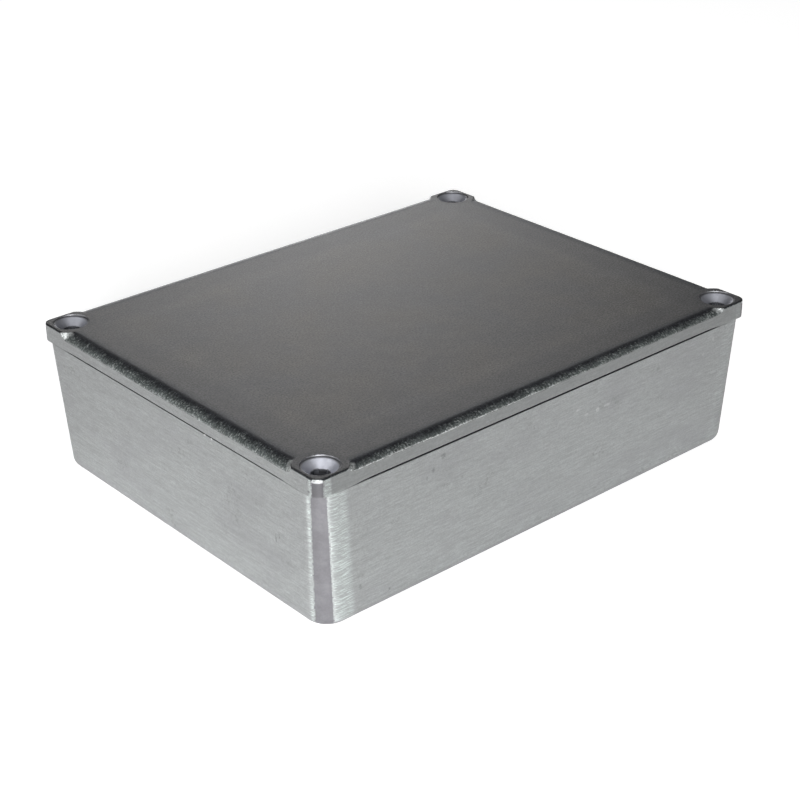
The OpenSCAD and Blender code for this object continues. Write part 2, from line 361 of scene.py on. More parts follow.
class Patchwork:
    """The patches of one piece, kept as whole arrays until they are sewn into one closed mesh."""

    def __init__(self):
        self.points = []
        self.marks = {"zone": [], "foot": []}
        self.faces = {4: [], 3: []}
        self.finishes = {4: [], 3: []}
        self.count = 0

    def lay(self, points, faces, finish, **marks):
        """Adds points, their marks, and faces with one finish or one finish each."""
        points = points.reshape(-1, 3)
        sides = faces.shape[1]
        self.points.append(points)
        for name, kept in self.marks.items():
            kept.append(np.broadcast_to(np.ravel(marks.get(name, 0.0)), len(points)))
        self.faces[sides].append(faces + self.count)
        self.finishes[sides].append(np.broadcast_to(np.ravel(finish), len(faces)).astype(int))
        self.count += len(points)

    def grid(self, points, finish, closed=True, **marks):
        """Adds rows of points with quads between them, each row closed on itself where asked."""
        rows, columns = points.shape[:2]
        index = np.arange(rows * columns).reshape(rows, columns)
        if closed:
            index = np.hstack([index, index[:, :1]])
        corners = (index[:-1, :-1], index[:-1, 1:], index[1:, 1:], index[1:, :-1])
        self.lay(points, np.stack(corners, axis=-1).reshape(-1, 4), finish, **marks)

    def fill(self, loops, height, finish):
        """Fills the level region between closed plan loops: a Delaunay net of their points, of which
        those triangles stay whose middle lies inside an odd number of the loops."""
        plan = np.concatenate(loops)
        ends = np.cumsum([len(loop) for loop in loops])
        edges = []
        for loop, end in zip(loops, ends):
            index = np.arange(end - len(loop), end)
            edges += np.stack([index, np.roll(index, -1)], axis=1).tolist()
        net = delaunay_2d_cdt([Vector(point) for point in plan], edges, [], 0, 1e-9)
        plan = np.array(net[0])
        triangles = np.array(net[2])
        middles = plan[triangles].mean(axis=1)
        kept = sum(within(middles, loop).astype(int) for loop in loops) % 2 == 1
        heights = height(plan[:, 0], plan[:, 1]) if callable(height) else np.full(len(plan), height)
        self.lay(np.column_stack([plan, heights]), triangles[kept], finish)

    def sew(self, name, materials):
        """Makes the piece: patches are joined where their points meet, and every edge then has two
        faces, all turned outwards."""
        mesh = bpy.data.meshes.new(name)
        faces = {sides: np.concatenate(self.faces[sides]) for sides in (4, 3)}
        finishes = np.concatenate(self.finishes[4] + self.finishes[3])
        starts = [
            np.arange(len(faces[4])) * 4,
            faces[4].size + np.arange(len(faces[3])) * 3,
        ]
        mesh.vertices.add(self.count)
        mesh.vertices.foreach_set("co", np.concatenate(self.points).ravel())
        mesh.loops.add(faces[4].size + faces[3].size)
        mesh.loops.foreach_set("vertex_index", np.concatenate([faces[4].ravel(), faces[3].ravel()]))
        mesh.polygons.add(len(finishes))
        mesh.polygons.foreach_set("loop_start", np.concatenate(starts))
        for material in materials:
            mesh.materials.append(material)
        mesh.polygons.foreach_set("material_index", finishes)
        for mark, values in self.marks.items():
            attribute = mesh.attributes.new(mark, "FLOAT", "POINT")
            attribute.data.foreach_set("value", np.concatenate(values))
        mesh.update(calc_edges=True)
        sewing = bmesh.new()
        sewing.from_mesh(mesh)
        bmesh.ops.remove_doubles(sewing, verts=sewing.verts, dist=SEAM)
        bmesh.ops.recalc_face_normals(sewing, faces=sewing.faces)
        torn = sum(len(edge.link_faces) != 2 for edge in sewing.edges)
        sewing.to_mesh(mesh)
        sewing.free()
        if torn:
            raise RuntimeError(f"{name} isn't closed: {torn} edges don't have two faces")
        mesh.polygons.foreach_set("use_smooth", np.ones(len(mesh.polygons), bool))
        mesh.set_sharp_from_angle(angle=SHARP_TURN)
        piece = bpy.data.objects.new(name, mesh)
        bpy.context.scene.collection.objects.link(piece)
        shading = piece.modifiers.new("Shading", "WEIGHTED_NORMAL")
        shading.keep_sharp = True
        return piece


# ------------------------------------------------------------------------ lid


def roll_off(across, drop, radius):
    """How far the broad rounding along an edge has dropped, at a distance in from that edge, and the
    share of it passed there. Its arc is level where it leaves the plate, has dropped by "drop" at the
    edge itself, and the share goes from 0 to 1 between them and below 0 on the plate."""
    run = np.sqrt(drop * (2 * radius - drop))
    into = np.clip(run - across, 0, run)
    return radius - np.sqrt(radius**2 - into**2), (run - across) / run


def lid_surface(x, y, sizes):
    """Height of the lid's upper side over plan points, and its zone there. The height is the plate
    less the larger roll-off, raised to full height on the bosses with a fillet at their feet, lowered
    by the small roundings along the outline and cut by the countersinks. The zone is -1 on the plate,
    0 where the rounded edge starts and 1 at its crease, a little below 0 on the bosses, and 1 on the
    ledge of a countersink."""
    end_drop = sizes.end_drop + unevenness(y + x, 0.07 * MM, 61 * MM, 2.1 + np.sign(x))
    side_drop = sizes.side_drop + unevenness(x - y, 0.06 * MM, 73 * MM, 0.4 + np.sign(y))
    at_end, end_share = roll_off(LID_HALF[0] - np.abs(x), end_drop, sizes.edge_radius)
    at_side, side_share = roll_off(LID_HALF[1] - np.abs(y), side_drop, sizes.edge_radius)
    step = np.maximum(at_end, at_side)
    from_axis = np.hypot(np.abs(x) - SCREW_X, np.abs(y) - SCREW_Y)
    beyond = from_axis - sizes.boss_radius
    fillet = sizes.boss_fillet
    reach = np.sqrt(fillet**2 - np.maximum(fillet - step, 0) ** 2)
    foot = fillet - np.sqrt(fillet**2 - np.clip(reach - beyond, 0, fillet) ** 2)
    rim = sizes.boss_edge * 0.6
    softened = quarter_circle(-beyond, rim) * np.minimum(step / (2 * rim), 1)
    drop = np.where(beyond > 0, step - foot, softened)
    on_boss = 1 - smooth_step(-0.2 * MM, 0.1 * MM, beyond)
    low_enough = smooth_step(0.05 * MM, 0.3 * MM, step)
    foot_mark = low_enough * np.clip(1 - beyond / fillet, 0, 1) * smooth_step(-0.13 * MM, 0, beyond)
    edge = sizes.crease_round + (sizes.boss_edge - sizes.crease_round) * on_boss
    crease = quarter_circle(inset_from(x, y, LID_HALF, sizes.corner_radius), edge)
    drop = drop + crease
    zone = np.maximum(np.maximum(end_share, side_share), -1) + 0.1 * crease / edge
    zone = zone + on_boss * (1.45 * crease / edge - 0.35 - zone)
    lip = sizes.lip_depth
    slope = 0.1 * MM
    radii = (SCREW_HOLE, sizes.sink_radius, sizes.mouth_radius - slope, sizes.mouth_radius)
    depths = (lip + sizes.sink_radius - SCREW_HOLE, lip, 0.85 * lip, 0)
    sink = np.interp(from_axis, radii, depths, right=-1)
    sunk = sink > drop
    on_ledge = smooth_step(sizes.sink_radius - slope, sizes.sink_radius + slope, from_axis)
    zone = np.where(sunk, on_ledge, zone)
    return TOP - np.maximum(drop, sink), {"zone": zone, "foot": foot_mark}, sunk


def boss_plan(sizes):
    """Plan of the patch round the +X +Y screw axis, as rings of growing radius. A ring is held back
    to the outline of the lid, or to the patch's own radius away from it, where the patch meets the
    strips along the sides point for point. Returns the plan, the strips' depths, how far each strip
    reaches short of the screw axis at each depth, and the number of outline points."""
    inset = LID_HALF[0] - SCREW_X
    reach = 7 * MM
    centre = inset - sizes.corner_radius
    _, fine = arc_steps(sizes.boss_edge, 8)
    coarse = np.linspace(0.5 * MM, 3.2 * MM, 16)
    wide = np.linspace(3.6 * MM, inset + reach / math.sqrt(2), 7)
    depths = np.concatenate([fine, coarse, wide])
    gap = np.sqrt(reach**2 - (inset - depths) ** 2)
    start = math.acos(inset / reach)
    outer = np.linspace(-start, np.pi / 2 + start, 130)
    inner = np.pi - np.arcsin((inset - depths) / reach)
    turns = np.concatenate([outer, inner[1:], 2.5 * np.pi - inner[-2:0:-1]])
    along_x, along_y = np.cos(turns), np.sin(turns)
    to_x = np.where(along_x > 0, inset / np.maximum(along_x, 1e-9), np.inf)
    to_y = np.where(along_y > 0, inset / np.maximum(along_y, 1e-9), np.inf)
    flat = np.minimum(to_x, to_y)
    middle = centre * (along_x + along_y)
    arc = middle + np.sqrt(np.maximum(middle**2 - 2 * centre**2 + sizes.corner_radius**2, 0))
    with np.errstate(invalid="ignore"):
        in_corner = (flat * along_x > centre) & (flat * along_y > centre)
    limit = np.minimum(np.where(in_corner, arc, flat), reach)
    mouth, boss = sizes.mouth_radius, sizes.boss_radius
    radii = np.concatenate([
        np.linspace(SCREW_HOLE, sizes.sink_radius, 9),
        np.linspace(sizes.sink_radius + 0.04 * MM, mouth - 0.1 * MM, 5),
        mouth + np.array([-0.066, -0.033, 0, 0.05, 0.15, 0.35, 0.65]) * MM,
        boss + np.array([-0.3, -0.2, -0.13, -0.08, -0.04, -0.01, 0, 0.02]) * MM,
        boss + np.linspace(0.08 * MM, sizes.boss_fillet + 0.1 * MM, 9),
    ])
    rings = [np.minimum(radii[:, None], limit - 1.2 * fine[-1])]
    rings.append(limit - fine[::-1, None])
    rings = np.concatenate(rings)
    plan = np.stack([SCREW_X + rings * along_x, SCREW_Y + rings * along_y], axis=-1)
    return plan, depths, gap, len(outer)


def joint_height(x, y, sizes):
    """Height of the lid's lower edge: it bears on the box at the corners, and the gap between them
    opens smoothly towards the middle of each side."""
    past_x, past_y = LID_HALF[0] - np.abs(x), LID_HALF[1] - np.abs(y)
    opening = smooth_step(6.4 * MM, 13 * MM, np.maximum(past_x, past_y))
    return JOINT + opening * np.where(past_x > past_y, sizes.side_gap, sizes.end_gap)


def lay_bosses(patches, plan, sizes):
    """Lays the patch round each screw hole, and the hole's shank down to the joint."""
    for sign in CORNERS:
        corner = plan * sign
        height, marks, sunk = lid_surface(corner[..., 0], corner[..., 1], sizes)
        closed = np.hstack([sunk, sunk[:, :1]]).astype(int)
        votes = closed[:-1, :-1] + closed[:-1, 1:] + closed[1:, :-1] + closed[1:, 1:]
        finish = np.where(votes.ravel() > 2, COUNTERSINK, LID_FACE)
        patches.grid(lift(corner, height), finish, **marks)
        shank = np.stack([corner[0]] * 3)
        patches.grid(lift(shank, np.linspace(height[0, 0], JOINT, 3)), COUNTERSINK, zone=2)


def lay_top(patches, depths, gap, sizes):
    """Lays a strip along each side and the plate between them. Returns the plan of the outermost
    strips in the +X +Y corner: the end from the X axis on, and the side up to the Y axis."""
    across_x = np.linspace(-1, 1, 97)
    across_y = np.linspace(-1, 1, 77)
    reach_x, reach_y = (SCREW_X - gap)[:, None], (SCREW_Y - gap)[:, None]
    side_y = LID_HALF[1] - depths[:, None] + 0 * across_x
    end_x = LID_HALF[0] - depths[:, None] + 0 * across_y
    strips = [np.stack([reach_x * across_x, sign * side_y], axis=-1) for sign in (1, -1)]
    strips += [np.stack([sign * end_x, reach_y * across_y], axis=-1) for sign in (1, -1)]
    strips.append(np.stack(np.meshgrid(reach_x[-1] * across_x, reach_y[-1] * across_y), axis=-1))
    for strip in strips:
        height, marks, _ = lid_surface(strip[..., 0], strip[..., 1], sizes)
        patches.grid(lift(strip, height), LID_FACE, closed=False, **marks)
    return strips[2][0, len(across_y) // 2 : -1], strips[0][0, -2 : len(across_x) // 2 - 1 : -1]


def lay_sides(patches, outline, sizes):
    """Lays the linished sides round the lid's outline. Returns the plan of its lower edge."""
    x, y = outline.T
    normal_x, normal_y, way = outward(x, y, LID_HALF, sizes.corner_radius)
    top = lid_surface(x, y, sizes)[0]
    low = joint_height(x, y, sizes)
    inward, drop = (step[::-1, None] for step in arc_steps(sizes.edge_break, 4))
    share = np.array([0, 0.012, 0.15, 0.35, 0.6, 0.85, 0.97])[:, None]
    heights = np.concatenate([top + (low + sizes.edge_break - top) * share, low + drop[1:]])
    insets = np.concatenate([0 * share, sizes.edge_break - inward[1:]])
    sides = np.stack([x - insets * normal_x, y - insets * normal_y, heights], axis=-1)
    past_belt = (way - (np.pi / 4 - sizes.cast_corner) * sizes.corner_radius) / MM
    finish = np.where(past_belt + np.roll(past_belt, -1) > 0, CORNER_SKIN, LINISHED)
    finish = np.tile(finish, len(heights) - 1)
    patches.grid(sides, finish, zone=np.broadcast_to(past_belt, heights.shape))
    return sides[-1, :, :2]


def lay_tongue(patches, border, hole, sizes, mouth):
    """Lays the tongue and the recess inside it, and the joint face out to the lid's lower edge. The
    steps are insets from the mouth and levels: down the outside, under the tongue and up inside."""
    ceiling = TOP - sizes.plate
    soft = 0.25 * MM
    outer_face, inner_face = sizes.clearance, sizes.clearance + sizes.tongue
    steps = np.array([
        (outer_face, JOINT),
        (outer_face, TONGUE_END + soft),
        (outer_face + 0.3 * soft, TONGUE_END + 0.3 * soft),
        (outer_face + soft, TONGUE_END),
        (inner_face - soft, TONGUE_END),
        (inner_face - 0.3 * soft, TONGUE_END + 0.3 * soft),
        (inner_face, TONGUE_END + soft),
        (inner_face, ceiling - 2 * soft),
        (inner_face + 0.6 * soft, ceiling - 0.6 * soft),
        (inner_face + 2 * soft, ceiling),
    ])
    shrink, levels = steps.T
    tongue = mouth_loop(
        RIM_HALF[0] - mouth.wall - shrink,
        RIM_HALF[1] - mouth.wall - shrink,
        mouth.post_radius + shrink,
        np.maximum(mouth.post_fillet - shrink, LEAST_FILLET),
    )
    levels = np.repeat(levels[:, None], tongue.shape[1], axis=1)
    levels[0] = joint_height(tongue[0, :, 0], tongue[0, :, 1], sizes)
    patches.grid(lift(tongue, levels), CAST)
    patches.fill([tongue[-1]], ceiling, CAST)
    holes = [hole * sign for sign in CORNERS]
    patches.fill([border, tongue[0], *holes], lambda x, y: joint_height(x, y, sizes), CAST)


def build_lid(sizes, mouth, materials):
    """Sews the lid: bosses, edge strips, plate, linished sides, joint face, tongue and recess."""
    patches = Patchwork()
    plan, depths, gap, outer = boss_plan(sizes)
    lay_bosses(patches, plan, sizes)
    end, side = lay_top(patches, depths, gap, sizes)
    outline = all_round(np.concatenate([end, plan[-1, :outer], side]))
    border = lay_sides(patches, outline, sizes)
    lay_tongue(patches, border, plan[0], sizes, mouth)
    return patches.sew("cast_lid", materials)


# ------------------------------------------------------------------------ box


def thread_radius(turn, depth, sizes):
    """Radius of a tapped hole: a triangular groove that goes round once each pitch, opened by a
    chamfer at the mouth."""
    phase = (depth / sizes.pitch + turn / (2 * np.pi)) % 1
    groove = 1 - np.abs(2 * phase - 1)
    radius = sizes.core_radius + (sizes.thread_radius - sizes.core_radius) * np.clip(1.3 * groove, 0, 1)
    mouth = sizes.thread_radius + 0.03 * MM
    return np.maximum(radius * (depth > 0), mouth - depth)


def lay_outside(patches, sizes):
    """Lays the base and the outer walls. Returns the plan of the rim's outer edge."""
    taper = JOINT * math.tan(sizes.draft)
    across, rise = arc_steps(sizes.base_fillet, 9)
    edge_in, edge_drop = (step[::-1] for step in arc_steps(sizes.edge_break, 4))
    walls = np.linspace(sizes.base_fillet, JOINT - sizes.edge_break, 14)[1:]
    levels = np.concatenate([rise, walls, JOINT - edge_drop[1:]])
    insets = np.concatenate([sizes.base_fillet - across, 0 * walls, sizes.edge_break - edge_in[1:]])
    share = np.clip((levels - sizes.base_fillet) / (JOINT - sizes.base_fillet), 0, 1)
    narrowing = insets + taper * (1 - share)
    radius = sizes.base_radius + (sizes.rim_radius - sizes.base_radius) * share
    outside = rounded_loop(RIM_HALF[0] - narrowing, RIM_HALF[1] - narrowing, radius - insets)
    widest = outside[-len(edge_in)]
    way = outward(widest[:, 0], widest[:, 1], RIM_HALF, sizes.rim_radius)[2]
    past_belt = (way - (np.pi / 4 - sizes.cast_corner) * sizes.rim_radius) / MM
    past_belt = np.tile(past_belt, (len(levels), 1))
    finish = np.where(past_belt + np.roll(past_belt, -1, axis=1) > 0, CORNER_SKIN, LINISHED)[:-1]
    finish[levels[1:] < 0.6 * sizes.base_fillet] = CORNER_SKIN
    patches.grid(lift(outside, levels), finish, zone=past_belt)
    patches.fill([outside[0]], 0, CAST)
    return outside[-1]


def lay_tapped_holes(patches, sizes):
    """Lays the four threaded holes. Returns the plans of their mouths."""
    turns = np.linspace(0, 2 * np.pi, 32, endpoint=False)
    depths = np.concatenate([[0], np.arange(0.05 * MM, sizes.tap_depth, sizes.pitch / 6)])
    radii = thread_radius(turns, depths[:, None], sizes)
    ends = np.array([1, 0.5, 0.02])[:, None] * sizes.core_radius
    radii = np.concatenate([radii, ends + 0 * turns])
    depths = np.concatenate([depths, sizes.tap_depth + 0.6 * (sizes.core_radius - ends[:, 0])])
    hole = np.stack([radii * np.cos(turns), radii * np.sin(turns)], axis=-1)
    mouths = []
    for sign in CORNERS:
        plan = hole + (sign[0] * SCREW_X, sign[1] * SCREW_Y)
        patches.grid(lift(plan, JOINT - depths), CAST)
        patches.fill([plan[-1]], JOINT - depths[-1], CAST)
        mouths.append(plan[0])
    return mouths


def lay_cavity(patches, sizes):
    """Lays the inner walls and the floor. Returns the plan of the rim's inner edge."""
    across, rise = arc_steps(sizes.floor_fillet, 8)
    edge_in, edge_drop = arc_steps(sizes.edge_break, 4)
    walls = np.linspace(JOINT - sizes.edge_break, sizes.floor + sizes.floor_fillet, 12)[1:]
    levels = np.concatenate([JOINT - edge_drop, walls, sizes.floor + rise[-2::-1]])
    shrink = (JOINT - levels) * math.tan(sizes.draft)
    edge, foot = len(edge_in), len(across) - 1
    shrink[:edge] -= sizes.edge_break - edge_in
    shrink[-foot:] += (sizes.floor_fillet - across)[-2::-1]
    wall_end = shrink[-foot - 1]
    widening = np.concatenate([shrink[:edge], 0 * walls, shrink[-foot:] - wall_end])
    inside = mouth_loop(
        RIM_HALF[0] - sizes.wall - shrink,
        RIM_HALF[1] - sizes.wall - shrink,
        sizes.post_radius + widening,
        np.maximum(sizes.post_fillet - np.maximum(shrink - wall_end, 0), LEAST_FILLET),
    )
    patches.grid(lift(inside, levels), CAST)
    patches.fill([inside[-1]], sizes.floor, CAST)
    return inside[0]


def build_box(sizes, materials):
    """Sews the box: base, linished walls, tapped holes, cavity, floor and rim."""
    patches = Patchwork()
    outer = lay_outside(patches, sizes)
    mouths = lay_tapped_holes(patches, sizes)
    inner = lay_cavity(patches, sizes)
    patches.fill([outer, inner, *mouths], JOINT, CAST)
    return patches.sew("cast_box", materials)


# ------------------------------------------------------------------- finishes


def scaled(colour, factor):
    """A colour made lighter or darker."""
    return [min(factor * part, 1) for part in colour]


class Graph:
    """Adds nodes to one tree. An input is a number, a vector, a colour or another node's output."""

    def __init__(self, tree):
        self.tree = tree

    def add(self, kind, inputs, **settings):
        node = self.tree.nodes.new("ShaderNode" + kind)
        for name, value in settings.items():
            setattr(node, name, value)
        for key, value in inputs.items():
            if isinstance(value, bpy.types.NodeSocket):
                self.tree.links.new(value, node.inputs[key])
            else:
                node.inputs[key].default_value = value
        return node

    def math(self, operation, first, second=0.0, clamp=False):
        return self.add("Math", {0: first, 1: second}, operation=operation, use_clamp=clamp).outputs[0]

    def times(self, first, second):
        return self.math("MULTIPLY", first, second)

    def noise(self, position, stretch, detail, rough=0.5, seed=0.0):
        """Noise whose grains are as long along each axis as the stretch, in millimetres."""
        scale = [1 / (MM * length) for length in stretch]
        mapped = self.add("Mapping", {"Vector": position, "Scale": scale, "Location": (seed, seed, seed)})
        values = {"Vector": mapped.outputs[0], "Scale": 1.0, "Detail": detail, "Roughness": rough}
        return self.add("TexNoise", values).outputs["Fac"]

    def ramp(self, value, low, high, start=0.0, end=1.0):
        """A smooth change from start to end as the value goes from low to high."""
        inputs = {"Value": value, "From Min": low, "From Max": high, "To Min": start, "To Max": end}
        return self.add("MapRange", inputs, interpolation_type="SMOOTHSTEP").outputs[0]

    def blend(self, factor, first, second, mode="MIX"):
        """Mixes two colours, given as three numbers or as an output."""
        colours = [c if isinstance(c, bpy.types.NodeSocket) else (*c, 1) for c in (first, second)]
        inputs = {0: factor, 6: colours[0], 7: colours[1]}
        return self.add("Mix", inputs, data_type="RGBA", blend_type=mode).outputs[2]

    def effect(self, name, position):
        """The outputs of a shared effect at a position."""
        node = self.add("Group", {}, node_tree=bpy.data.node_groups[name])
        self.tree.links.new(position, node.inputs["Position"])
        return node.outputs

    def mark(self, name):
        """A value that the points of the mesh carry."""
        return self.add("Attribute", {}, attribute_name=name).outputs["Fac"]

    def height(self, position):
        return self.add("SeparateXYZ", {0: position}).outputs[2]

    def from_joint(self, position):
        """Distance up or down from the joint between box and lid."""
        return self.math("ABSOLUTE", self.math("SUBTRACT", self.height(position), JOINT))

    def varied(self, value, colour, low, high):
        """A colour made darker or lighter as the value goes from 0 to 1."""
        return self.blend(value, scaled(colour, low), scaled(colour, high))


def new_effect(name, outputs, build):
    """Makes a node group from a position to named values, unless it is there already."""
    if name in bpy.data.node_groups:
        return
    tree = bpy.data.node_groups.new(name, "ShaderNodeTree")
    tree.interface.new_socket("Position", in_out="INPUT", socket_type="NodeSocketVector")
    for output in outputs:
        tree.interface.new_socket(output, in_out="OUTPUT", socket_type="NodeSocketFloat")
    start = tree.nodes.new("NodeGroupInput")
    end = tree.nodes.new("NodeGroupOutput")
    for output, value in build(Graph(tree), start.outputs["Position"]).items():
        tree.links.new(value, end.inputs[output])


def belt_streaks(graph, position):
    """Streaks of a belt: noise that is long along both walls and thin in height."""
    fine = graph.noise(position, (2.6, 2.6, 0.15), 3, 0.7)
    broad = graph.noise(position, (9, 9, 0.6), 2, 0.5, seed=7)
    clouds = graph.noise(position, (16, 16, 10), 3, 0.6, seed=3)
    streaks = graph.math("ADD", graph.times(fine, 0.75), graph.times(broad, 0.25))
    bright = graph.ramp(fine, 0.48, 0.62)
    return {"Streaks": graph.ramp(streaks, 0.33, 0.67), "Bright": bright, "Clouds": clouds}


def cast_skin(graph, position):
    """Skin of a casting: slow clouds, a mottle of flow marks and a fine grain."""
    clouds = graph.noise(position, (16, 16, 16), 4, 0.6, seed=1)
    mottle = graph.noise(position, (4.5, 4.5, 4.5), 6, 0.78, seed=5)
    grain = graph.noise(position, (0.4, 0.4, 0.4), 3, 0.7, seed=2)
    clouds, mottle = graph.ramp(clouds, 0.3, 0.7), graph.ramp(mottle, 0.32, 0.68)
    return {"Clouds": clouds, "Mottle": mottle, "Grain": grain}


def handling_marks(graph, position):
    """Small scuffs: the few peaks of a medium noise, broken up by a fine one."""
    patch = graph.noise(position, (9, 9, 5), 2, 0.5, seed=11)
    broken = graph.noise(position, (0.8, 0.8, 0.8), 3, 0.7, seed=4)
    scuffs = graph.times(graph.ramp(patch, 0.6, 0.7), graph.ramp(broken, 0.5, 0.62))
    return {"Scuffs": scuffs}


def drag_marks(graph, position):
    """Marks dragged down the lid's rounded edges, across the nearest side: on the long sides they
    run along Y and Z, and on the short ends along X and Z. Lit Corner masks painted highlights
    and painted reflections, full by the -X -Y corner."""
    parts = graph.add("SeparateXYZ", {0: position}).outputs
    in_x = graph.math("SUBTRACT", LID_HALF[0], graph.math("ABSOLUTE", parts[0]))
    in_y = graph.math("SUBTRACT", LID_HALF[1], graph.math("ABSOLUTE", parts[1]))
    at_end = graph.math("LESS_THAN", in_x, in_y)
    on_side = graph.noise(position, (0.4, 1.6, 1.6), 4, 0.65, seed=6)
    on_end = graph.noise(position, (1.6, 0.4, 1.6), 4, 0.65, seed=9)
    marks = graph.add("Mix", {0: at_end, 2: on_side, 3: on_end}).outputs[0]
    slow = graph.noise(position, (3, 3, 3), 2, 0.6, seed=8)
    marks = graph.math("ADD", graph.times(marks, 0.6), graph.times(slow, 0.4))
    inset = graph.math("MINIMUM", in_x, in_y)
    from_corner = graph.math("ADD", graph.math("ADD", parts[0], parts[1]), sum(LID_HALF))
    # Mask for painted highlights and reflections: full at the -X -Y corner, gone before the middle
    highlight_mask = graph.ramp(from_corner, 40 * MM, 80 * MM, 1, 0)
    grains = graph.noise(position, (0.45, 0.45, 0.45), 2, 0.6, seed=10)
    drag = graph.ramp(marks, 0.3, 0.7)
    grains = graph.times(graph.ramp(grains, 0.5, 0.66), graph.ramp(drag, 0.2, 0.8, 0.15, 1))
    return {"Drag": drag, "Grains": grains, "Inset": inset, "At End": at_end, "Lit Corner": highlight_mask}


def single_marks(graph, position):
    """The single chips, scuffs and scratches of this box: ellipsoids at full strength up to 0.4 of
    the way from their middle, broken up by a fine noise."""
    grains = graph.noise(position, (0.5, 0.5, 0.5), 2, 0.6, seed=12)
    broken = graph.ramp(grains, 0.35, 0.55, 0.3, 1)
    shown = []
    for marks in (PALE_MARKS, DARK_MARKS):
        total = 0.0
        for centre, reach, strength in marks:
            scale = [1 / (MM * half) for half in reach]
            start = [-middle / half for middle, half in zip(centre, reach)]
            moved = graph.add("Mapping", {"Vector": position, "Scale": scale, "Location": start})
            away = graph.add("VectorMath", {0: moved.outputs[0]}, operation="LENGTH").outputs["Value"]
            total = graph.math("MAXIMUM", graph.ramp(away, 0.4, 1, strength, 0), total)
        shown.append(graph.times(total, broken))
    return {"Pale": shown[0], "Dark": shown[1]}


EFFECTS = (
    ("Belt Streaks", ("Streaks", "Bright", "Clouds"), belt_streaks),
    ("Cast Skin", ("Clouds", "Mottle", "Grain"), cast_skin),
    ("Handling Marks", ("Scuffs",), handling_marks),
    ("Drag Marks", ("Drag", "Grains", "Inset", "At End", "Lit Corner"), drag_marks),
    ("Single Marks", ("Pale", "Dark"), single_marks),
)


def bump(graph, height, strength, distance):
    """A bumped normal, with the distance in metres."""
    inputs = {"Height": height, "Strength": strength, "Distance": distance}
    return graph.add("Bump", inputs).outputs["Normal"]


def cast_surface(graph, skin, colour, rough, strength, depth):
    """A cast finish: its colour, and the skin's grain as roughness and as bumps."""
    grain = skin["Grain"]
    normal = bump(graph, grain, strength, depth)
    return {"Base Color": colour, "Roughness": graph.ramp(grain, 0.3, 0.7, *rough), "Normal": normal}


def linished_wall(graph, position, colours):
    """Walls ground on a belt: streaks along the wall, and a painted highlight beside the corners it left.
    """
    belt = graph.effect("Belt Streaks", position)
    marks = graph.effect("Handling Marks", position)
    skin = graph.effect("Cast Skin", position)
    drag = graph.effect("Drag Marks", position)
    single = graph.effect("Single Marks", position)
    way = graph.mark("zone")
    at_end = drag["At End"]
    height = graph.height(position)
    streaks = belt["Streaks"]
    colour = graph.varied(streaks, colours.linished, 0.78, 1.2)
    colour = graph.blend(graph.ramp(skin["Grain"], 0.35, 0.65, 0, 0.3), colour, scaled(colours.cast, 0.9))
    clouded = graph.ramp(belt["Clouds"], 0.45, 0.7, 0, 0.25)
    colour = graph.blend(clouded, colour, scaled(colours.cast, 1.2))

    on_lid = graph.ramp(height, JOINT, JOINT + 0.3 * MM)
    off_lid = graph.math("SUBTRACT", 1.0, on_lid)
    side, end = graph.ramp(way, -5.4, -3.4), graph.ramp(way, -1.4, -0.6)
    beside = graph.add("Mix", {0: at_end, 2: side, 3: end}).outputs[0]
    # Mask of the painted highlight: a strip of wall beside the cast corner skin, on the box and the lid
    highlight_mask = graph.times(beside, graph.ramp(way, -2.2, -1.6, off_lid, 1.0))
    dulled = graph.times(on_lid, graph.ramp(at_end, 0, 1, 0.4, 0.1))
    colour = graph.blend(dulled, colour, scaled(colours.linished, 0.45))
    highlight_mask = graph.times(highlight_mask, graph.ramp(drag["Lit Corner"], 0, 1, 0.2, 1))
    # Painted highlight: a streaky greenish-white glint beside the corners, strongest by the -X -Y corner
    glint = graph.times(graph.ramp(belt["Bright"], 0, 1, 0.25, 1.0), highlight_mask)
    colour = graph.blend(glint, colour, (0.93, 1.0, 0.98))
    left_skin = graph.math("ADD", way, graph.ramp(streaks, 0, 1, -0.15, 0.45))
    colour = graph.blend(graph.ramp(left_skin, -0.1, 0.1), colour, colours.cast)

    line = graph.ramp(graph.from_joint(position), 0.05 * MM, 0.14 * MM, 0.8, 0)
    line = graph.times(line, graph.ramp(way, -12, -5, 1, 0.3))
    colour = graph.blend(line, colour, colours.edge)
    # Darker towards the base: the fillet's unground cast skin, plus painted shade near the floor
    colour = graph.blend(graph.ramp(height, 0.8 * MM, 2.4 * MM, 0.45, 0), colour, colours.cast)
    colour = graph.blend(graph.times(marks["Scuffs"], 0.35), colour, (0.2, 0.2, 0.2))
    colour = graph.blend(single["Dark"], colour, (0.1, 0.1, 0.11))
    colour = graph.blend(single["Pale"], colour, (1, 1, 1))
    rough = graph.ramp(streaks, 0, 1, 0.36, 0.48)
    return {"Base Color": colour, "Roughness": rough, "Normal": bump(graph, streaks, 0.4, 0.02 * MM)}


def corner_skin(graph, position, colours):
    """Skin the belt left at the corners: smooth, darker on the lid, with painted shade along the
    base under the straight walls and a painted highlight at its top.
    """
    skin = graph.effect("Cast Skin", position)
    height = graph.height(position)
    colour = graph.varied(skin["Mottle"], colours.cast, 0.88, 1.1)
    on_lid = graph.ramp(height, JOINT, JOINT + 0.6 * MM)
    colour = graph.blend(graph.times(on_lid, 0.8), colour, scaled(colours.cast, 0.5))
    # Painted shade along the base fillet under the straight walls, none at the corners
    under = graph.ramp(graph.mark("zone"), -1.5, 0, 0.6, 0)
    colour = graph.blend(under, colour, scaled(colours.cast, 0.4))
    # Painted highlight on the rounded top of the lid's corners
    highlight_mask = graph.ramp(height, TOP - 0.9 * MM, TOP - 0.65 * MM)
    colour = graph.blend(highlight_mask, colour, (0.8, 0.82, 0.83))
    return cast_surface(graph, skin, colour, (0.36, 0.5), 0.2, 0.03 * MM)


